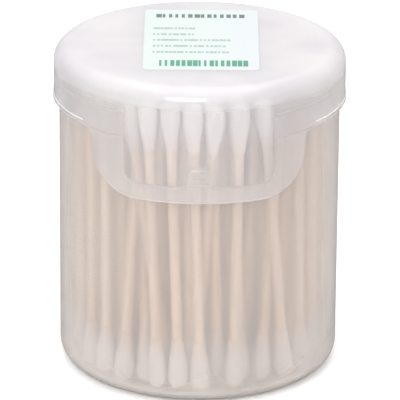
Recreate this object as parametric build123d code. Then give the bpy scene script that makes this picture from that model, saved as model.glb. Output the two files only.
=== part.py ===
from build123d import *
import os
from math import hypot, pi, sqrt

import numpy as np

# Cotton swab tub: a round moulded tub with a flip lid, a printed label and six rings of swabs.
# Millimetres. +Z is up, -Y is the front. The origin is the middle of the underside.

# ---- overall
OVERALL_HEIGHT = 80.0
LID_RADIUS = 35.0

# ---- tub body
BODY_RADIUS = 33.7
BODY_INNER_RADIUS = 32.4
FLOOR = 1.5
FOOT_RADIUS = 5.0
SHOULDER_Z = 66.5
RIM_Z = 76.6
NECK_RADIUS = 33.15
NECK_BEAD_Z = 72.1
NECK_BEAD_HEIGHT = 0.4
EDGE_CHAMFER = 0.2

# ---- finger cutout in the front of the tub, with the latch tab in the middle of its lower edge
CUTOUT_HALF_WIDTH = 17.6
CUTOUT_BOTTOM_Z = 55.4
CUTOUT_CORNER = 3.3
TAB_WIDTH = 5.4
TAB_TOP_Z = 60.5
TAB_TOP_CORNER = 2.0
TAB_FOOT_CORNER = 0.8
NUB_WIDTH = 3.2
NUB_Z = 58.9
NUB_HALF_HEIGHT = 1.2
NUB_HEIGHT = 0.37

# ---- lid
LID_INNER_RADIUS = 33.85
LID_TOP = 1.2
LID_CORNER = 3.8
SKIRT_BOTTOM_Z = 67.1
RIM_BEAD = 0.2
RIM_BEAD_HEIGHT = 1.3
TONGUE_HALF_WIDTH = 24.9
TONGUE_BOTTOM_Z = 52.2
TONGUE_CORNER = 10.0
TONGUE_ROOT_CORNER = 2.5
POCKET_WIDTH = 5.0
POCKET_BOTTOM_Z = 56.6
POCKET_TOP_Z = 61.0
POCKET_DEPTH = 0.6

# ---- hinge at the back: a barrel with stub pins on the lid, between two ears on the tub
HINGE_Y = 36.7
HINGE_Z = SKIRT_BOTTOM_Z
BARREL_RADIUS = 1.9
BARREL_HALF_LENGTH = 5.0
PIN_RADIUS = 0.9
PIN_PLAY = 0.05
EAR_GAP = 0.3
EAR_THICKNESS = 2.6
EAR_FOOT_Z = 59.5
WEB_TOP_Z = 71.5

# ---- label
LABEL_WIDTH = 27.5
LABEL_DEPTH = 44.5
LABEL_THICKNESS = 0.12
LABEL_CORNER = 1.0
LABEL_X = 0.3
LABEL_Y = 2.5

# ---- swabs: a wooden stick with a cotton bud wound on each end
SWAB_LENGTH = 73.5
STICK_RADIUS = 1.2
BUD_RADIUS = 2.5
BUD_FULL = 5.5  # from the tip to where the bud begins to taper
BUD_LENGTH = 13.0
BUD_NECK_RADIUS = 1.4
BUD_END = 2.0  # cotton beyond the end of the stick
RING_RADII = [29.7, 24.2, 18.7, 13.2, 7.7, 0.0]
RING_COUNTS = [33, 27, 20, 14, 8, 1]

# ---- how loosely the swabs stand
SEED = 66
UPPER_SCATTER = 0.3
LOWER_SCATTER = 2.8  # how far the lower ends stray from straight below the upper ends
SCATTER_TAIL = 4  # the smaller, the fewer swabs do most of the leaning
MOST_SCATTER = 4.0
SETTLE_STEPS = 300
SPACE = 0.2  # least gap between neighbours
MOST_LIFT = 0.6  # how much higher than its neighbours a swab may stand
MOST_CORNER_LIFT = 1.2
MOST_LEAN_DROP = 1.2

CENTRED_UP = (Align.CENTER, Align.CENTER, Align.MIN)


def upright_cylinder(radius, bottom, top):
    """A cylinder about the Z axis from one height to another."""
    return Pos(0, 0, bottom) * Cylinder(radius, top - bottom, align=CENTRED_UP)


def near(shape, x, y):
    """The vertices of a sketch at the places (x, y) and (-x, y)."""
    return [v for v in shape.vertices() if hypot(abs(v.X) - x, v.Y - y) < 1e-4]


def box_between(x, y, z):
    """A box from its lowest to its highest x, y and z."""
    centre = Pos((x[0] + x[1]) / 2, (y[0] + y[1]) / 2, (z[0] + z[1]) / 2)
    return centre * Box(x[1] - x[0], y[1] - y[0], z[1] - z[0])


def forwards(sketch, start, end):
    """A sketch drawn as seen from the front (x, z), carried from y = start to y = end."""
    face = Plane.XZ.offset(-start) * sketch
    return extrude(face, amount=start - end)


# ---------------------------------------------------------------- tub body
def cutout_outline():
    """The finger cutout as seen from the front, open at the top, with the latch tab standing in it."""
    over = 10.0
    height = RIM_Z + over - CUTOUT_BOTTOM_Z
    opening = Pos(0, CUTOUT_BOTTOM_Z + height / 2) * Rectangle(2 * CUTOUT_HALF_WIDTH, height)
    opening = fillet(near(opening, CUTOUT_HALF_WIDTH, CUTOUT_BOTTOM_Z), CUTOUT_CORNER)
    tab_height = TAB_TOP_Z - CUTOUT_BOTTOM_Z
    opening -= Pos(0, CUTOUT_BOTTOM_Z + tab_height / 2) * Rectangle(TAB_WIDTH, tab_height)
    opening = fillet(near(opening, TAB_WIDTH / 2, TAB_TOP_Z), TAB_TOP_CORNER)
    return fillet(near(opening, TAB_WIDTH / 2, CUTOUT_BOTTOM_Z), TAB_FOOT_CORNER)


def latch_nub():
    """A low rounded nub on the outer face of the latch tab."""
    reach = (NUB_HALF_HEIGHT**2 - NUB_HEIGHT**2) / (2 * NUB_HEIGHT)
    radius = reach + NUB_HEIGHT
    roll = Pos(0, -BODY_RADIUS + reach, NUB_Z) * Rot(0, 90, 0) * Cylinder(radius, NUB_WIDTH)
    keep = box_between(
        (-NUB_WIDTH, NUB_WIDTH),
        (-BODY_RADIUS - 1, -BODY_RADIUS + 0.5),
        (NUB_Z - 2, NUB_Z + 2),
    )
    return roll & keep


def hinge_ear(side):
    """One hinge ear: a round head about the pin, carried by a gusset on the tub's wall."""
    root_y = BODY_RADIUS - 0.6
    head = Pos(HINGE_Y, HINGE_Z) * Circle(BARREL_RADIUS)
    arm = make_face(
        Polyline(
            (root_y, SHOULDER_Z),
            (HINGE_Y - BARREL_RADIUS + 0.05, HINGE_Z - 0.3),
            (HINGE_Y, HINGE_Z),
            (HINGE_Y + BARREL_RADIUS - 0.05, HINGE_Z - 0.3),
            (HINGE_Y + 0.9, HINGE_Z - 2.4),
            (root_y, EAR_FOOT_Z),
            close=True,
        )
    )
    inner_x = BARREL_HALF_LENGTH + EAR_GAP
    blade = extrude(Plane.YZ * (head + arm), amount=EAR_THICKNESS)
    hole = Pos(0, HINGE_Y, HINGE_Z) * Rot(0, 90, 0) * Cylinder(PIN_RADIUS + PIN_PLAY, 4 * EAR_THICKNESS)
    start = inner_x if side > 0 else -inner_x - EAR_THICKNESS
    return Pos(start, 0, 0) * (blade - hole)


def make_tub_body():
    """The tub: floor, wall, neck and bead, front cutout with its latch tab, and the hinge ears."""
    wall = upright_cylinder(BODY_RADIUS, 0, SHOULDER_Z)
    wall = fillet(wall.edges().sort_by(Axis.Z)[0], FOOT_RADIUS)
    wall = chamfer(wall.edges().sort_by(Axis.Z)[-1], EDGE_CHAMFER)
    body = wall + upright_cylinder(NECK_RADIUS, 10, RIM_Z)
    cavity = upright_cylinder(BODY_INNER_RADIUS, FLOOR, RIM_Z + 5)
    wall_thickness = BODY_RADIUS - BODY_INNER_RADIUS
    cavity = fillet(cavity.edges().sort_by(Axis.Z)[0], FOOT_RADIUS - wall_thickness)
    body -= cavity
    body = chamfer(body.edges().group_by(Axis.Z)[-1], EDGE_CHAMFER)
    body += Pos(0, 0, NECK_BEAD_Z) * Torus(NECK_RADIUS, NECK_BEAD_HEIGHT)
    body -= forwards(cutout_outline(), 0, -40)
    body += latch_nub()
    body += hinge_ear(1) + hinge_ear(-1)
    return body


# ---------------------------------------------------------------- lid
def lid_outline():
    """What the lid covers in its front half, seen from the front: the skirt and the tongue below it."""
    above = OVERALL_HEIGHT + 10 - SKIRT_BOTTOM_Z
    height = SKIRT_BOTTOM_Z - TONGUE_BOTTOM_Z
    outline = Pos(0, SKIRT_BOTTOM_Z + above / 2) * Rectangle(100, above)
    outline += Pos(0, TONGUE_BOTTOM_Z + height / 2) * Rectangle(2 * TONGUE_HALF_WIDTH, height)
    outline = fillet(near(outline, TONGUE_HALF_WIDTH, TONGUE_BOTTOM_Z), TONGUE_CORNER)
    return fillet(near(outline, TONGUE_HALF_WIDTH, SKIRT_BOTTOM_Z), TONGUE_ROOT_CORNER)


def lid_rim_bead():
    """The thin rounded bead round the skirt's lower edge, left out where the tongue hangs down."""
    band = upright_cylinder(LID_RADIUS + RIM_BEAD, SKIRT_BOTTOM_Z, SKIRT_BOTTOM_Z + RIM_BEAD_HEIGHT)
    band -= upright_cylinder(LID_RADIUS - 0.4, 0, OVERALL_HEIGHT)
    circles = band.edges().filter_by(GeomType.CIRCLE)
    band = chamfer([edge for edge in circles if edge.radius > LID_RADIUS], RIM_BEAD)
    clear = TONGUE_HALF_WIDTH + TONGUE_ROOT_CORNER
    return band - box_between((-clear, clear), (-40, 0), (0, OVERALL_HEIGHT))


def lid_hinge():
    """The hinge barrel with its stub pins, and the web that carries it on the skirt."""
    axis = Pos(0, HINGE_Y, HINGE_Z) * Rot(0, 90, 0)
    barrel = axis * Cylinder(BARREL_RADIUS, 2 * BARREL_HALF_LENGTH)
    pin_reach = BARREL_HALF_LENGTH + EAR_GAP + EAR_THICKNESS - 0.1
    pins = axis * Cylinder(PIN_RADIUS, 2 * pin_reach)
    web = make_face(
        Polyline(
            (LID_RADIUS - 0.7, SKIRT_BOTTOM_Z),
            (HINGE_Y, SKIRT_BOTTOM_Z),
            (HINGE_Y + 0.6, SKIRT_BOTTOM_Z + 1.6),
            (LID_RADIUS, WEB_TOP_Z),
            (LID_RADIUS - 0.7, WEB_TOP_Z),
            close=True,
        )
    )
    web = Pos(-BARREL_HALF_LENGTH, 0, 0) * extrude(Plane.YZ * web, amount=2 * BARREL_HALF_LENGTH)
    return barrel + pins + web


def make_lid():
    """The lid: top, skirt, front tongue with its latch pocket, and the hinge barrel."""
    shell = upright_cylinder(LID_RADIUS, TONGUE_BOTTOM_Z - 1, OVERALL_HEIGHT)
    shell = fillet(shell.edges().sort_by(Axis.Z)[-1], LID_CORNER)
    cavity = upright_cylinder(LID_INNER_RADIUS, 0, OVERALL_HEIGHT - LID_TOP)
    skirt_wall = LID_RADIUS - LID_INNER_RADIUS
    cavity = fillet(cavity.edges().sort_by(Axis.Z)[-1], LID_CORNER - skirt_wall)
    shell -= cavity
    front = forwards(lid_outline(), 0, -40)
    back = box_between((-50, 50), (0, 50), (SKIRT_BOTTOM_Z, OVERALL_HEIGHT + 10))
    lid = shell & (front + back)
    pocket = box_between(
        (-POCKET_WIDTH / 2, POCKET_WIDTH / 2),
        (-LID_INNER_RADIUS - POCKET_DEPTH, -LID_INNER_RADIUS + 2),
        (POCKET_BOTTOM_Z, POCKET_TOP_Z),
    )
    lid -= pocket
    lid += lid_rim_bead()
    return lid + lid_hinge()


# ---------------------------------------------------------------- label
def make_label():
    """The paper sticker on the flat of the lid."""
    outline = RectangleRounded(LABEL_WIDTH, LABEL_DEPTH, LABEL_CORNER)
    return Pos(LABEL_X, LABEL_Y, OVERALL_HEIGHT) * extrude(outline, amount=LABEL_THICKNESS)


# ---------------------------------------------------------------- swabs
def make_bud():
    """One cotton bud along +Z with its tip at the origin, hollow where the stick goes in."""
    tip_middle = BUD_RADIUS * sqrt(0.5)
    side = Polyline((BUD_RADIUS, BUD_RADIUS), (BUD_RADIUS, BUD_FULL), (BUD_NECK_RADIUS, BUD_LENGTH))
    tip = ThreePointArc((0, 0), (tip_middle, BUD_RADIUS - tip_middle), (BUD_RADIUS, BUD_RADIUS))
    bore = Polyline(
        (BUD_NECK_RADIUS, BUD_LENGTH),
        (STICK_RADIUS, BUD_LENGTH),
        (STICK_RADIUS, BUD_END),
        (0, BUD_END),
        (0, 0),
    )
    return revolve(Plane.XZ * make_face(tip + side + bore), Axis.Z, 360)


def make_stick():
    """One wooden stick along +Z, starting inside the lower bud."""
    return upright_cylinder(STICK_RADIUS, BUD_END, SWAB_LENGTH - BUD_END)


def ring_places(scatter, rng):
    """The starting places of all swabs at one end, ring by ring from the wall inwards."""
    places = []
    for radius, count in zip(RING_RADII, RING_COUNTS):
        turn = rng.uniform(0, 2 * pi)
        for step in range(count):
            angle = turn + 2 * pi * step / count
            places.append((radius * np.cos(angle), radius * np.sin(angle)))
    return np.array(places) + rng.normal(0, scatter, (len(places), 2))


def least_spacing(along):
    """How far apart two neighbours' centre lines have to be, this far along them from the nearer tip."""
    uneven = MOST_LIFT + MOST_CORNER_LIFT + MOST_LEAN_DROP  # neighbours' tips may differ this much in height
    taper = [BUD_FULL + uneven, BUD_LENGTH + uneven]
    radius = np.interp(along, taper, [BUD_RADIUS, BUD_NECK_RADIUS], right=STICK_RADIUS)
    return 2 * radius + SPACE


def settle(lower, upper):
    """Moves the two ends of all swabs apart until no buds or sticks touch and all stand inside the wall."""
    reach = BODY_INNER_RADIUS - BUD_RADIUS - SPACE
    heights = np.linspace(0.0, 1.0, 19)
    for _ in range(SETTLE_STEPS):
        for height in heights:
            along = BUD_RADIUS + min(height, 1 - height) * SWAB_LENGTH
            centres = (1 - height) * lower + height * upper
            apart = centres[:, None] - centres[None]
            distance = np.hypot(apart[..., 0], apart[..., 1]) + np.eye(len(centres)) * 100
            lack = np.clip(least_spacing(along) - distance, 0, None)
            push = (lack / distance)[..., None] * apart
            move = 0.35 * push.sum(axis=1)
            lower += (1 - height) * move
            upper += height * move
        for ends in (lower, upper):
            radius = np.hypot(ends[:, 0], ends[:, 1])
            ends *= np.minimum(1, reach / np.maximum(radius, 1e-9))[:, None]
    return lower, upper


def corner_lift(radius):
    """How far a rounded bud stands above the floor at this distance from the middle, in the curved corner."""
    corner = FOOT_RADIUS - (BODY_RADIUS - BODY_INNER_RADIUS)
    slack = corner - BUD_RADIUS
    inside = radius - (BODY_INNER_RADIUS - corner)
    if inside <= 0:
        return 0.0
    return slack - sqrt(max(slack**2 - inside**2, 0.0))


def swab_frames():
    """A location for each swab, with its origin at the lower tip and +Z along the stick, ring by ring."""
    rng = np.random.default_rng(SEED)
    upper = ring_places(UPPER_SCATTER, rng)
    stray = rng.standard_t(SCATTER_TAIL, upper.shape)
    lower = upper + LOWER_SCATTER * np.clip(stray, -MOST_SCATTER, MOST_SCATTER)
    lower, upper = settle(lower, upper)
    lifts = rng.uniform(0, MOST_LIFT, len(lower))
    frames = []
    for low, high, lift in zip(lower, upper, lifts):
        base = Vector(low[0], low[1], FLOOR + SPACE + corner_lift(hypot(*low)) + lift)
        lean = Vector(high[0] - low[0], high[1] - low[1], SWAB_LENGTH)
        frames.append(Plane(origin=base, z_dir=lean.normalized()).location)
    return frames


def make_swabs():
    """The sticks and buds of each ring, as groups of separate solids named by ring."""
    stick, bud = make_stick(), make_bud()
    top_bud = Pos(0, 0, SWAB_LENGTH) * Rot(180, 0, 0) * bud
    frames = swab_frames()
    groups = {}
    for ring, count in enumerate(RING_COUNTS, start=1):
        places, frames = frames[:count], frames[count:]
        groups[f"sticks_ring_{ring}"] = [place * stick for place in places]
        groups[f"upper_buds_ring_{ring}"] = [place * top_bud for place in places]
        groups[f"lower_buds_ring_{ring}"] = [place * bud for place in places]
    return groups


def write_node(name, shapes):
    """Writes one node: a single solid, or a group of separate ones."""
    solids = [solid for shape in shapes for solid in shape.solids()]
    node = solids[0] if len(solids) == 1 else Compound(children=solids)
    export_step(node, os.path.join("parts", name + ".step"))


os.makedirs("parts", exist_ok=True)
write_node("tub_body", [make_tub_body()])
write_node("lid", [make_lid()])
write_node("top_label", [make_label()])
for node_name, solids_of_ring in make_swabs().items():
    write_node(node_name, solids_of_ring)
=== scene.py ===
import math

import bpy
import numpy as np
from mathutils import Matrix, Vector


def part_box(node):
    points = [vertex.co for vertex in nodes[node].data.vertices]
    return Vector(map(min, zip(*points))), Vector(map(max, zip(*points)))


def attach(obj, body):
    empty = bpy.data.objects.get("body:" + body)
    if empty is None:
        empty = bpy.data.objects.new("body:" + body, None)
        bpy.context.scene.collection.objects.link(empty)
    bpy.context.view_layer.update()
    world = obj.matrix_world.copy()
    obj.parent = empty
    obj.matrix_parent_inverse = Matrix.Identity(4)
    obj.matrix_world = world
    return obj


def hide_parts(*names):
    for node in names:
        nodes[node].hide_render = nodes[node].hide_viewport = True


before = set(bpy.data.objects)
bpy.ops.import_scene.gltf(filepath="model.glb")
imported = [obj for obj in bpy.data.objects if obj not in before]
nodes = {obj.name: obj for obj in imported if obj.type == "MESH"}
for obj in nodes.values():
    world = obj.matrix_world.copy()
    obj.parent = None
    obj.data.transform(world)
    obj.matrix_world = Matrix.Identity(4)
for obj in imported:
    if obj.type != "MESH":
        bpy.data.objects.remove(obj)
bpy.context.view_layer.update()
SEED = 20

# ---- sizes, in metres
MM = 0.001
RINGS = range(1, 7)
STICK_INSET = 2.0 * MM  # cotton beyond the end of the stick
BUD_LENGTH = 13.0 * MM
BUD_RADIUS = 2.40 * MM
BUD_NOSE = 3.4 * MM  # from the tip to the full radius
BUD_SHOULDER = 4.8 * MM  # from the tip to where the taper begins
BUD_NECK = 1.32 * MM
BUD_SIZES = 0.975, 1.0  # least and greatest radius of a bud, as shares of the full one
RIDGE_HEIGHTS = 0.018 * MM, 0.010 * MM  # the winding's ridges on a bud
LUMP_HEIGHTS = 0.030 * MM, 0.025 * MM, 0.012 * MM
FIBRES_PER_BUD = 22
FIBRE_LENGTHS = 0.6 * MM, 1.4 * MM
FIBRE_RISES = 0.05 * MM, 0.13 * MM  # how far a loose fibre stands off the bud
FIBRE_THICKNESS = 0.022 * MM
EDGES_FROM, EDGES_TO = 50.0 * MM, 76.0 * MM  # heights of the cutout, the tongue and the skirt's rim
CLOUDY_BASE = (10.0 * MM, 2.0 * MM, 0.09)  # from height, to height, milk added there
CLOUDY_TOP = (74.5 * MM, 80.0 * MM, 0.46)

# ---- colours
CLEAR_TINT = (1.0, 0.985, 0.975, 1)
# the sheet's colour seen edge-on: partly the long way through it, partly painted shade that darkens its
# edges
GRAZING_TINT_AND_PAINTED_SHADE = (0.10, 0.085, 0.08, 1)
TUB_MILK = (0.98, 0.915, 0.87, 1), (0.94, 0.87, 0.83, 1)
LID_MILK = (0.985, 0.965, 0.98, 1), (0.91, 0.89, 0.935, 1)
BIRCH_PALE = (0.92, 0.78, 0.67, 1)
BIRCH_TAN = (0.84, 0.66, 0.53, 1)
BIRCH_GRAIN = (0.60, 0.42, 0.30, 1)
BIRCH_FLECK = (0.50, 0.34, 0.23, 1)
COTTON_SHADE = (0.82, 0.80, 0.80, 1)
COTTON_WHITE = (0.93, 0.915, 0.915, 1)
COTTON_LUMP = (0.78, 0.74, 0.73, 1)
COTTON_THIN = (0.88, 0.74, 0.63, 1)  # where the wood shows through at the neck
PAPER = (0.545, 0.62, 0.597, 1), (0.588, 0.648, 0.63, 1)
PAPER_FADED = (0.588, 0.602, 0.64, 1)
INK_LINES = (0.16, 0.26, 0.23, 1)
INK_HEADING = (0.05, 0.11, 0.09, 1)
INK_BARS = (0.02, 0.25, 0.14, 1)
FLOOR_SHADES = (0.92, 0.92, 0.92, 1), (0.94, 0.94, 0.94, 1)

# ---- light and camera
WORLD_LOW, WORLD_HIGH = 1.05, 0.95
OVERHEAD_POWER = 2.2
FRONT_POWER = 2.4
REAR_POWER = 0.15
FLOOR_GLOW = 0.12
PITCH = math.radians(21.0)
DISTANCE = 0.991
LENS = 367.6
ROLL = math.radians(0.45)
AIM = Vector((0.0003, 0.0, 0.03981))


# ---------------------------------------------------------------- node trees
def new_material(name):
    """An empty node material and its output's Surface socket."""
    material = bpy.data.materials.new(name)
    material.use_nodes = True
    tree = material.node_tree
    tree.nodes.clear()
    output = tree.nodes.new("ShaderNodeOutputMaterial")
    return material, tree, output


def add(tree, kind, **settings):
    """A new node with its properties set."""
    made = tree.nodes.new(kind)
    for key, value in settings.items():
        setattr(made, key, value)
    return made


def put(tree, socket, value):
    """Feeds a socket from another socket, or sets it to a plain value."""
    if isinstance(value, bpy.types.NodeSocket):
        tree.links.new(value, socket)
    else:
        socket.default_value = value


def calc(tree, operation, *values):
    """A Math node's result."""
    made = add(tree, "ShaderNodeMath", operation=operation)
    for socket, value in zip(made.inputs, values):
        put(tree, socket, value)
    return made.outputs[0]


def blend_colour(tree, share, first, second):
    """A mix of two colours."""
    made = add(tree, "ShaderNodeMix", data_type="RGBA")
    put(tree, made.inputs[0], share)
    put(tree, made.inputs[6], first)
    put(tree, made.inputs[7], second)
    return made.outputs[2]


def noise(tree, place, scale, stretch=(1, 1, 1), detail=3.0, roughness=0.55):
    """A noise pattern over a place vector, its scale in cycles per metre."""
    mapping = add(tree, "ShaderNodeMapping")
    put(tree, mapping.inputs["Vector"], place)
    mapping.inputs["Scale"].default_value = stretch
    made = add(tree, "ShaderNodeTexNoise")
    put(tree, made.inputs["Vector"], mapping.outputs[0])
    made.inputs["Scale"].default_value = scale
    made.inputs["Detail"].default_value = detail
    made.inputs["Roughness"].default_value = roughness
    return made.outputs["Fac"]


def remap(tree, value, low, high, new_low, new_high):
    """value carried from one range to another, clamped."""
    made = add(tree, "ShaderNodeMapRange")
    put(tree, made.inputs[0], value)
    for socket, number in zip(made.inputs[1:5], (low, high, new_low, new_high)):
        put(tree, socket, number)
    return made.outputs[0]


def bump(tree, height, distance, strength=1.0):
    """A bump normal of a height pattern, with the depth in metres."""
    made = add(tree, "ShaderNodeBump")
    made.inputs["Strength"].default_value = strength
    made.inputs["Distance"].default_value = distance
    put(tree, made.inputs["Height"], height)
    return made.outputs[0]


def mix_shaders(tree, share, first, second):
    """A mix of two shaders."""
    made = add(tree, "ShaderNodeMixShader")
    put(tree, made.inputs[0], share)
    put(tree, made.inputs[1], first)
    put(tree, made.inputs[2], second)
    return made.outputs[0]


# ---------------------------------------------------------------- materials
GRAZING_FROM = 0.30  # Layer Weight facing from which the sheet darkens, partly from its long way through and partly as painted shade on its edges
PLASTIC_IOR = 1.45
EDGE_MILK = 0.6  # milk added on the narrow end faces
GLOSS, GRAZING_GLOSS = 0.04, 0.18


def thin_edges(tree, place, height):
    """1 on the narrow end faces, such as the cutout's and the tongue's, and 0 on the wall itself."""
    normal = add(tree, "ShaderNodeTexCoord").outputs["Normal"]
    flat = add(tree, "ShaderNodeVectorMath", operation="MULTIPLY")
    put(tree, flat.inputs[0], place)
    flat.inputs[1].default_value = (1, 1, 0)
    outward = add(tree, "ShaderNodeVectorMath", operation="NORMALIZE")
    put(tree, outward.inputs[0], flat.outputs[0])
    along = add(tree, "ShaderNodeVectorMath", operation="DOT_PRODUCT")
    put(tree, along.inputs[0], outward.outputs[0])
    put(tree, along.inputs[1], normal)
    turned = remap(tree, calc(tree, "ABSOLUTE", along.outputs["Value"]), 0.75, 0.95, 1.0, 0.0)
    return calc(tree, "MULTIPLY", turned, between(tree, height, EDGES_FROM, EDGES_TO))


def polypropylene(name, milk, milk_colours, front_share, frost, gloss_roughness, cloudy):
    """Moulded frosted plastic: a sheet that blurs what is behind it, with some milk in it and a gloss.

    cloudy is (from height, to height, milk added there), for the end of the moulding that is less clear.
    front_share is how much of the milk turns light back, and the rest of it lets light through.
    """
    material, tree, output = new_material(name)
    place = add(tree, "ShaderNodeTexCoord").outputs["Object"]
    flow = noise(tree, place, 60.0, stretch=(1, 1, 0.35), detail=2.0)
    mottle = noise(tree, place, 420.0, detail=3.0)
    relief = calc(tree, "ADD", flow, calc(tree, "MULTIPLY", mottle, 0.12))
    ripple = bump(tree, relief, 0.6 * MM, 0.35)
    facing = add(tree, "ShaderNodeLayerWeight")
    facing.inputs["Blend"].default_value = 0.5
    facing = facing.outputs["Facing"]

    clear = add(tree, "ShaderNodeBsdfGlass", distribution="MULTI_GGX")
    # darker towards the silhouettes: partly the long way through the sheet, partly painted shade, which
    # also darkens the glass's own reflection there
    long_way_and_painted_shade = calc(tree, "POWER", remap(tree, facing, GRAZING_FROM, 0.98, 0.0, 1.0), 2.0)
    put(tree, clear.inputs["Color"], blend_colour(tree, long_way_and_painted_shade, CLEAR_TINT, GRAZING_TINT_AND_PAINTED_SHADE))
    clear.inputs["IOR"].default_value = PLASTIC_IOR
    clear.inputs["Roughness"].default_value = frost

    patches = remap(tree, noise(tree, place, 45.0, detail=2.0), 0.42, 0.68, 0.0, 1.0)
    colour = blend_colour(tree, patches, *milk_colours)
    front = add(tree, "ShaderNodeBsdfDiffuse")
    put(tree, front.inputs["Color"], colour)
    through = add(tree, "ShaderNodeBsdfTranslucent")
    put(tree, through.inputs["Color"], colour)
    milky = mix_shaders(tree, front_share, through.outputs[0], front.outputs[0])

    split = add(tree, "ShaderNodeSeparateXYZ")
    put(tree, split.inputs[0], place)
    height = split.outputs[2]
    edges = calc(tree, "MULTIPLY", thin_edges(tree, place, height), EDGE_MILK)
    share = calc(tree, "ADD", remap(tree, flow, 0.3, 0.7, 0.85 * milk, 1.15 * milk), edges)
    clear_height, cloudy_height, more = cloudy
    share = calc(tree, "ADD", share, remap(tree, height, clear_height, cloudy_height, 0.0, more))
    sheet = mix_shaders(tree, calc(tree, "MINIMUM", share, 1.0), clear.outputs[0], milky)

    gloss = add(tree, "ShaderNodeBsdfAnisotropic")
    gloss.inputs["Roughness"].default_value = gloss_roughness
    put(tree, gloss.inputs["Normal"], ripple)
    grazing = calc(tree, "MULTIPLY", calc(tree, "POWER", facing, 5.0), GRAZING_GLOSS)
    shine = calc(tree, "ADD", grazing, GLOSS)
    put(tree, output.inputs["Surface"], mix_shaders(tree, shine, sheet, gloss.outputs[0]))
    return material


def birch():
    """Pale birch: long fine grain along the sticks, and some sticks darker than others."""
    material, tree, output = new_material("birch")
    place = add(tree, "ShaderNodeTexCoord").outputs["Object"]
    batch = noise(tree, place, 160.0, stretch=(1, 1, 0.06), detail=1.0)
    grain = noise(tree, place, 2600.0, stretch=(1, 1, 0.03), detail=4.0, roughness=0.65)
    fleck = noise(tree, place, 1500.0, stretch=(1, 1, 0.09), detail=2.0)
    base = blend_colour(tree, remap(tree, batch, 0.32, 0.68, 0, 1), BIRCH_PALE, BIRCH_TAN)
    base = blend_colour(tree, remap(tree, grain, 0.40, 0.75, 0, 0.28), base, BIRCH_GRAIN)
    base = blend_colour(tree, remap(tree, fleck, 0.66, 0.74, 0, 0.3), base, BIRCH_FLECK)
    shader = add(tree, "ShaderNodeBsdfPrincipled")
    put(tree, shader.inputs["Base Color"], base)
    put(tree, shader.inputs["Roughness"], remap(tree, grain, 0.3, 0.7, 0.55, 0.75))
    put(tree, shader.inputs["Normal"], bump(tree, grain, 0.06 * MM, 0.6))
    put(tree, output.inputs["Surface"], shader.outputs[0])
    return material


def cotton():
    """Wound cotton: fibres running round the bud, faint lumps, and a soft sheen."""
    material, tree, output = new_material("wound_cotton")
    winding = add(tree, "ShaderNodeAttribute", attribute_name="winding").outputs["Vector"]
    strands = noise(tree, winding, 1100.0, stretch=(1, 1, 3.2), detail=5.0, roughness=0.7)
    lumps = noise(tree, winding, 260.0, detail=2.0)
    base = blend_colour(tree, remap(tree, strands, 0.35, 0.7, 0, 1), COTTON_SHADE, COTTON_WHITE)
    base = blend_colour(tree, remap(tree, lumps, 0.35, 0.65, 0, 0.3), base, COTTON_LUMP)
    cover = add(tree, "ShaderNodeAttribute", attribute_name="along").outputs["Fac"]
    thin = calc(tree, "ADD", cover, calc(tree, "MULTIPLY", calc(tree, "SUBTRACT", strands, 0.5), 0.25))
    base = blend_colour(tree, remap(tree, thin, 0.62, 1.0, 0.0, 0.85), base, COTTON_THIN)
    shader = add(tree, "ShaderNodeBsdfPrincipled")
    put(tree, shader.inputs["Base Color"], base)
    shader.inputs["Roughness"].default_value = 0.92
    shader.inputs["Sheen Weight"].default_value = 0.35
    shader.inputs["Sheen Roughness"].default_value = 0.6
    shader.inputs["Specular IOR Level"].default_value = 0.2
    relief = calc(tree, "ADD", strands, calc(tree, "MULTIPLY", lumps, 0.5))
    put(tree, shader.inputs["Normal"], bump(tree, relief, 0.12 * MM, 0.7))
    put(tree, output.inputs["Surface"], shader.outputs[0])
    return material


def between(tree, value, low, high):
    """1 where value lies between two numbers, else 0."""
    above = calc(tree, "GREATER_THAN", value, low)
    below = calc(tree, "LESS_THAN", value, high)
    return calc(tree, "MULTIPLY", above, below)


def print_row(tree, across, up, centre, half, start, end, count, fill, order):
    """One printed row: count equal places from start to end, each with a mark of its own width, or none."""
    band = between(tree, up, centre - half, centre + half)
    span = between(tree, across, start, end)
    step = remap(tree, across, start, end, 0.0, float(count))
    number = calc(tree, "FLOOR", step)
    within = calc(tree, "FRACT", step)
    chance = add(tree, "ShaderNodeTexWhiteNoise", noise_dimensions="1D")
    put(tree, chance.inputs["W"], calc(tree, "ADD", number, float(order * 37)))
    width = remap(tree, chance.outputs["Value"], 0.0, 1.0, fill - 0.25, fill + 0.35)
    mark = calc(tree, "LESS_THAN", within, width)
    return calc(tree, "MULTIPLY", calc(tree, "MULTIPLY", band, span), mark)


# centre height and end, as shares of the sticker, and the number of places, of each row of small marks
SMALL_ROWS = [
    (0.680, 0.45, 12),
    (0.580, 0.45, 11),
    (0.485, 0.76, 20),
    (0.385, 0.72, 18),
    (0.285, 0.75, 19),
]


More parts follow.
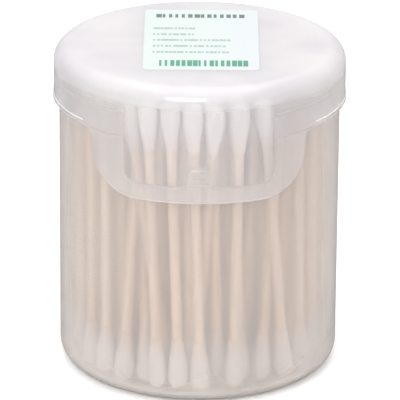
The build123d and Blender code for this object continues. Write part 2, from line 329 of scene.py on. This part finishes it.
def label_paper():
    """The sticker: pale paper with plain bars and dashes where the real one is printed."""
    material, tree, output = new_material("label_paper")
    low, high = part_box("top_label")
    place = add(tree, "ShaderNodeTexCoord").outputs["Object"]
    split = add(tree, "ShaderNodeSeparateXYZ")
    put(tree, split.inputs[0], place)
    across = remap(tree, split.outputs[0], low[0], high[0], 0.0, 1.0)
    up = remap(tree, split.outputs[1], low[1], high[1], 0.0, 1.0)

    paper = blend_colour(tree, noise(tree, place, 900.0, detail=3.0), *PAPER)
    fade = remap(tree, across, 0.45, 0.95, 0.0, 0.7)
    paper = blend_colour(tree, fade, paper, PAPER_FADED)

    heading = print_row(tree, across, up, 0.895, 0.030, 0.10, 0.89, 14, 0.62, 1)
    lines = None
    for order, (centre, end, count) in enumerate(SMALL_ROWS, start=2):
        row = print_row(tree, across, up, centre, 0.015, 0.08, end, count, 0.70, order)
        lines = row if lines is None else calc(tree, "MAXIMUM", lines, row)
    bars = print_row(tree, across, up, 0.105, 0.048, 0.14, 0.91, 16, 0.60, 7)

    ink = blend_colour(tree, calc(tree, "MULTIPLY", lines, 0.62), paper, INK_LINES)
    ink = blend_colour(tree, calc(tree, "MULTIPLY", heading, 0.93), ink, INK_HEADING)
    ink = blend_colour(tree, calc(tree, "MULTIPLY", bars, 0.95), ink, INK_BARS)
    shader = add(tree, "ShaderNodeBsdfPrincipled")
    put(tree, shader.inputs["Base Color"], ink)
    shader.inputs["Roughness"].default_value = 0.45
    put(tree, shader.inputs["Normal"], bump(tree, noise(tree, place, 1800.0), 0.01 * MM, 0.4))
    put(tree, output.inputs["Surface"], shader.outputs[0])
    return material


def paint(node_name, material):
    """Puts one material on a CAD node."""
    mesh = nodes[node_name].data
    mesh.materials.clear()
    mesh.materials.append(material)


# ---------------------------------------------------------------- sticks, read from the frame
def loose_parts(mesh):
    """The vertices of each separate solid of a mesh, as arrays, in the order they first appear."""
    count = len(mesh.vertices)
    places = np.zeros(count * 3, np.float64)
    mesh.vertices.foreach_get("co", places)
    places = places.reshape(-1, 3)
    _, same = np.unique(np.round(places, 7), axis=0, return_inverse=True)
    same = same.ravel()
    owner = np.arange(same.max() + 1)

    def root(i):
        while owner[i] != i:
            owner[i] = owner[owner[i]]
            i = owner[i]
        return i

    for edge in mesh.edges:
        a, b = root(same[edge.vertices[0]]), root(same[edge.vertices[1]])
        if a != b:
            owner[max(a, b)] = min(a, b)
    groups = np.array([root(i) for i in same])
    return [places[groups == group] for group in dict.fromkeys(groups)]


def stick_ends(ring):
    """The lower and upper end of each stick of a ring."""
    ends = []
    for part in loose_parts(nodes[f"sticks_ring_{ring}"].data):
        part = np.unique(np.round(part, 7), axis=0)
        middle = (part[:, 2].min() + part[:, 2].max()) / 2
        ends.append((part[part[:, 2] < middle].mean(axis=0), part[part[:, 2] >= middle].mean(axis=0)))
    return ends


# ---------------------------------------------------------------- cotton buds
def bud_radius(along):
    """A bud's radius at distances from its tip: a round nose, a full belly and a long taper."""
    nose = BUD_RADIUS * np.sqrt(np.clip(1 - (1 - along / BUD_NOSE) ** 2, 0, 1))
    taper = np.clip((along - BUD_SHOULDER) / (BUD_LENGTH - BUD_SHOULDER), 0, 1)
    slope = 0.55 * (1 - taper) + 0.45 * (0.5 + 0.5 * np.cos(math.pi * taper))
    belly = BUD_NECK + (BUD_RADIUS - BUD_NECK) * slope
    return np.where(along < BUD_NOSE, nose, belly)


def side_axes(direction):
    """Two unit vectors square to a direction."""
    first = np.cross(direction, (0.0, 1.0, 0.0))
    first /= np.linalg.norm(first)
    return first, np.cross(direction, first)


class MeshPile:
    """Many small closed shapes for one object, with the winding and along attributes of their vertices."""

    def __init__(self):
        self.places, self.winding, self.along, self.faces, self.count = [], [], [], [], 0

    def add(self, places, winding, along, faces):
        self.places.append(places)
        self.winding.append(winding)
        self.along.append(along)
        self.faces.extend(tuple(i + self.count for i in face) for face in faces)
        self.count += len(places)

    def make_object(self, name, material):
        mesh = bpy.data.meshes.new(name)
        mesh.from_pydata(np.concatenate(self.places).tolist(), [], self.faces)
        attribute = mesh.attributes.new("winding", "FLOAT_VECTOR", "POINT")
        attribute.data.foreach_set("vector", np.concatenate(self.winding).astype(np.float32).ravel())
        attribute = mesh.attributes.new("along", "FLOAT", "POINT")
        attribute.data.foreach_set("value", np.concatenate(self.along).astype(np.float32))
        mesh.polygons.foreach_set("use_smooth", [True] * len(mesh.polygons))
        mesh.materials.append(material)
        mesh.update()
        made = bpy.data.objects.new(name, mesh)
        bpy.context.scene.collection.objects.link(made)
        return made


AROUND, ALONG = 24, 24
ROWS_NEAR_TIP = 1.35  # above 1, the rows of vertices are closer together at the tip
WINDING_TWIST = 24  # radians over the length of a bud
BUD_FACES = []
for ring_row in range(ALONG - 1):
    for k in range(AROUND):
        after = (k + 1) % AROUND
        low_row, high_row = 1 + ring_row * AROUND, 1 + (ring_row + 1) * AROUND
        BUD_FACES.append((low_row + k, low_row + after, high_row + after, high_row + k))
LAST_ROW = 1 + (ALONG - 1) * AROUND
for k in range(AROUND):
    BUD_FACES.append((0, 1 + (k + 1) % AROUND, 1 + k))
    BUD_FACES.append((LAST_ROW + k, LAST_ROW + (k + 1) % AROUND, LAST_ROW + AROUND))


def add_bud(pile, tip, inwards, rng):
    """One wound cotton bud, from its tip towards the middle of the stick."""
    first, second = side_axes(inwards)
    steps = np.linspace(0, 1, ALONG + 1)[1:]
    along = BUD_LENGTH * steps**ROWS_NEAR_TIP
    turn = 2 * math.pi * np.arange(AROUND) / AROUND
    s, u = np.meshgrid(along, turn, indexing="ij")
    share = s / BUD_LENGTH
    phases = rng.uniform(0, 2 * math.pi, 6)
    relief = RIDGE_HEIGHTS[0] * np.sin(2 * u + 46 * share + phases[0])
    relief += RIDGE_HEIGHTS[1] * np.sin(3 * u - 71 * share + phases[1])
    relief += LUMP_HEIGHTS[0] * np.sin(u + 5 * share + phases[2])
    relief += LUMP_HEIGHTS[1] * np.sin(2 * u - 8 * share + phases[3])
    relief += LUMP_HEIGHTS[2] * np.sin(3 * u + 13 * share + phases[4])
    fade = np.sin(math.pi * np.clip(share, 0, 1) ** 0.5) ** 0.5
    radius = bud_radius(s) * rng.uniform(*BUD_SIZES) + fade * relief
    out = np.cos(u)[..., None] * first + np.sin(u)[..., None] * second
    shell = tip + s[..., None] * inwards + radius[..., None] * out
    places = np.vstack([tip[None], shell.reshape(-1, 3), (tip + BUD_LENGTH * inwards)[None]])
    drift = rng.uniform(-1, 1, 3)
    wound = u + WINDING_TWIST * share
    local = np.stack([radius * np.cos(wound), radius * np.sin(wound), s], axis=-1)
    winding = np.vstack([np.zeros((1, 3)), local.reshape(-1, 3), [[0, 0, BUD_LENGTH]]]) + drift
    pile.add(places, winding, np.concatenate([[0.0], share.ravel(), [1.0]]), BUD_FACES)
    return first, second, drift


FIBRE_SIDES, FIBRE_JOINTS = 3, 5


def add_fibre(pile, tip, inwards, first, second, drift, rng):
    """One loose cotton fibre that leaves the bud's surface and curls back."""
    s = BUD_LENGTH * rng.uniform(0.12, 0.8) ** 1.2
    u = rng.uniform(0, 2 * math.pi)
    out = math.cos(u) * first + math.sin(u) * second
    across = -math.sin(u) * first + math.cos(u) * second
    start = tip + s * inwards + (float(bud_radius(np.array(s))) - 0.05 * MM) * out
    slope = rng.uniform(-0.35, 0.6)
    heading = across * math.cos(slope) + inwards * math.sin(slope)
    length = rng.uniform(*FIBRE_LENGTHS)
    rise = rng.uniform(*FIBRE_RISES)
    t = np.linspace(0, 1, FIBRE_JOINTS)[:, None]
    belly = np.cos(t * length / BUD_RADIUS) - 1
    line = start + heading * (t * length) + out * (rise * np.sin(math.pi * t * 0.8) + BUD_RADIUS * belly)
    thick = FIBRE_THICKNESS * (1 - 0.75 * t)
    corner = 2 * math.pi * np.arange(FIBRE_SIDES) / FIBRE_SIDES
    ring = np.cos(corner)[None, :, None] * out + np.sin(corner)[None, :, None] * np.cross(heading, out)
    places = (line[:, None] + thick[:, :, None] * ring).reshape(-1, 3)
    faces = []
    for joint in range(FIBRE_JOINTS - 1):
        for k in range(FIBRE_SIDES):
            a, b = joint * FIBRE_SIDES + k, joint * FIBRE_SIDES + (k + 1) % FIBRE_SIDES
            faces.append((a, b, b + FIBRE_SIDES, a + FIBRE_SIDES))
    faces.append(tuple(range(FIBRE_SIDES))[::-1])
    faces.append(tuple(range(len(places) - FIBRE_SIDES, len(places))))
    pile.add(places, np.zeros_like(places) + drift, np.zeros(len(places)), faces)


def make_buds(ring, ends, material, rng):
    """The cotton of one ring's upper or lower ends, and its loose fibres, as one piece each end."""
    for end_name in ("upper", "lower"):
        pile = MeshPile()
        for lower, upper in ends:
            end, other = (upper, lower) if end_name == "upper" else (lower, upper)
            inwards = (other - end) / np.linalg.norm(other - end)
            tip = end - STICK_INSET * inwards
            first, second, drift = add_bud(pile, tip, inwards, rng)
            for _ in range(FIBRES_PER_BUD):
                add_fibre(pile, tip, inwards, first, second, drift, rng)
        piece = pile.make_object(f"cotton_{end_name}_ring_{ring}", material)
        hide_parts(f"{end_name}_buds_ring_{ring}")
        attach(piece, "tub")


# ---------------------------------------------------------------- studio
def make_floor():
    """A plain pale floor that isn't part of the object."""
    material, tree, output = new_material("studio_floor")
    place = add(tree, "ShaderNodeTexCoord").outputs["Object"]
    shader = add(tree, "ShaderNodeBsdfPrincipled")
    shade = noise(tree, place, 3.0, detail=1.0)
    put(tree, shader.inputs["Base Color"], blend_colour(tree, shade, *FLOOR_SHADES))
    shader.inputs["Roughness"].default_value = 0.9
    shader.inputs["Specular IOR Level"].default_value = 0.0
    shader.inputs["Emission Color"].default_value = (1, 1, 1, 1)
    shader.inputs["Emission Strength"].default_value = FLOOR_GLOW
    put(tree, output.inputs["Surface"], shader.outputs[0])
    half = 3.0
    mesh = bpy.data.meshes.new("studio_floor")
    corners = [(-half, -half, 0), (half, -half, 0), (half, half, 0), (-half, half, 0)]
    mesh.from_pydata(corners, [], [(0, 1, 2, 3)])
    mesh.materials.append(material)
    floor = bpy.data.objects.new("studio_floor", mesh)
    bpy.context.scene.collection.objects.link(floor)


def soft_light(name, place, aim, size, power):
    """A large square lamp aimed at a point."""
    lamp = bpy.data.lights.new(name, "AREA")
    lamp.shape = "SQUARE"
    lamp.size = size
    lamp.energy = power
    made = bpy.data.objects.new(name, lamp)
    made.location = place
    made.rotation_euler = (Vector(aim) - Vector(place)).to_track_quat("-Z", "Y").to_euler()
    bpy.context.scene.collection.objects.link(made)


def make_light():
    """A nearly even white surround, and soft lamps overhead, at the front and faintly at the rear."""
    world = bpy.data.worlds.new("studio")
    world.use_nodes = True
    tree = world.node_tree
    height = add(tree, "ShaderNodeSeparateXYZ")
    put(tree, height.inputs[0], add(tree, "ShaderNodeTexCoord").outputs["Generated"])
    level = remap(tree, height.outputs[2], -0.1, 0.9, WORLD_LOW, WORLD_HIGH)
    tree.nodes["Background"].inputs["Color"].default_value = (1, 1, 1, 1)
    put(tree, tree.nodes["Background"].inputs["Strength"], level)
    bpy.context.scene.world = world
    middle = (0, 0, 0.04)
    soft_light("overhead", (0.0, -0.05, 0.75), middle, 0.7, OVERHEAD_POWER)
    soft_light("front", (-0.12, -0.68, 0.50), middle, 0.35, FRONT_POWER)
    soft_light("rear", (0.0, 0.60, 0.50), middle, 0.5, REAR_POWER)


def make_camera():
    """The camera in front of the tub, looking a little down."""
    data = bpy.data.cameras.new("camera")
    data.lens = LENS
    data.sensor_width = 36.0
    data.clip_start = 0.01
    camera = bpy.data.objects.new("camera", data)
    camera.location = AIM + DISTANCE * Vector((0, -math.cos(PITCH), math.sin(PITCH)))
    look = Matrix.Rotation(math.pi / 2 - PITCH, 4, "X") @ Matrix.Rotation(ROLL, 4, "Z")
    camera.rotation_euler = look.to_euler()
    bpy.context.scene.collection.objects.link(camera)
    bpy.context.scene.camera = camera


# ---------------------------------------------------------------- the object
paint("tub_body", polypropylene("tub_plastic", 0.225, TUB_MILK, 0.5, 0.22, 0.10, CLOUDY_BASE))
paint("lid", polypropylene("lid_plastic", 0.21, LID_MILK, 0.65, 0.14, 0.12, CLOUDY_TOP))
paint("top_label", label_paper())
stick_material = birch()
cotton_material = cotton()
shape_rng = np.random.default_rng(SEED)
for ring_number in RINGS:
    paint(f"sticks_ring_{ring_number}", stick_material)
    make_buds(ring_number, stick_ends(ring_number), cotton_material, shape_rng)

make_floor()
make_light()
make_camera()
scene = bpy.context.scene
scene.view_settings.view_transform = "Standard"
scene.cycles.transparent_max_bounces = 32
scene.cycles.max_bounces = 20
scene.cycles.transmission_bounces = 20
